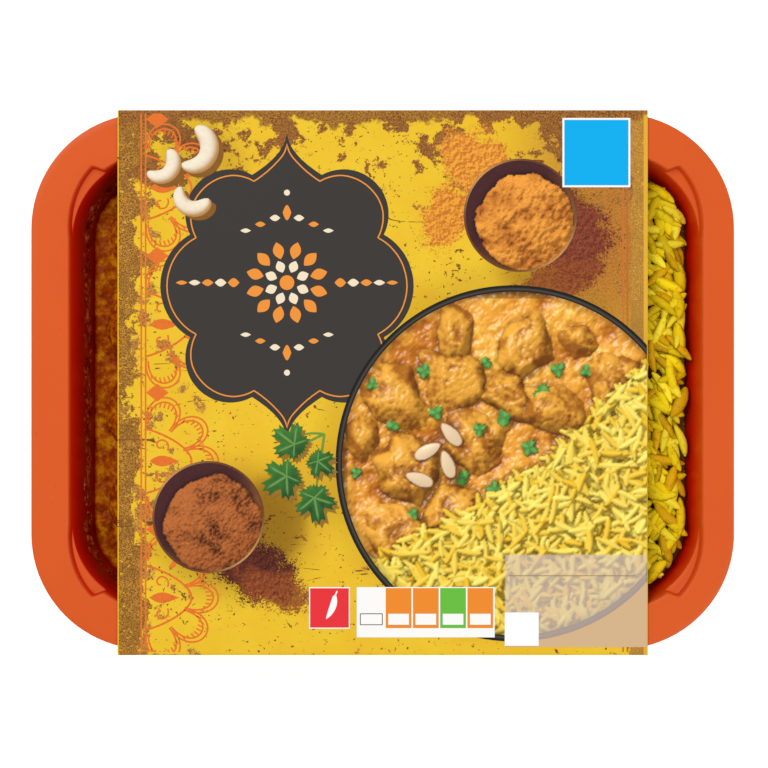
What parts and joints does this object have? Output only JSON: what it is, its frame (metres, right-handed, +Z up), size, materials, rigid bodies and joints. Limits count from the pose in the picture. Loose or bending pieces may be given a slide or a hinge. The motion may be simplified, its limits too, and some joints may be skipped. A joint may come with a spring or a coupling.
{
  "type": "ready meal tray in a card sleeve",
  "caption": "Curry and pilau rice in an orange plastic tray with two compartments, held in a printed yellow card sleeve open at both ends.",
  "frame": {"origin": "centre of the object's box, on the surface that the sleeve rests on", "axes": "+X along the tray from the curry's end to the rice's end, +Y across the tray, +Z up through the sleeve's printed face"},
  "size_m": [0.2108, 0.1636, 0.0416],
  "materials": {
    "tray_plastic": "semi-gloss thermoformed polyester, orange red",
    "sleeve_card": "printed and varnished outside, bare grey board inside",
    "curry_sauce": "oily golden brown sauce",
    "chicken": "cooked meat coated with sauce",
    "rice": "cooked yellow rice, moist"
  },
  "bodies": {
    "root": {"tray": "tray_plastic", "sleeve": "sleeve_card", "curry": "curry_sauce", "chicken_1": "chicken", "chicken_2": "chicken", "chicken_3": "chicken", "chicken_4": "chicken", "rice": "rice"}
  },
  "joints": []
}
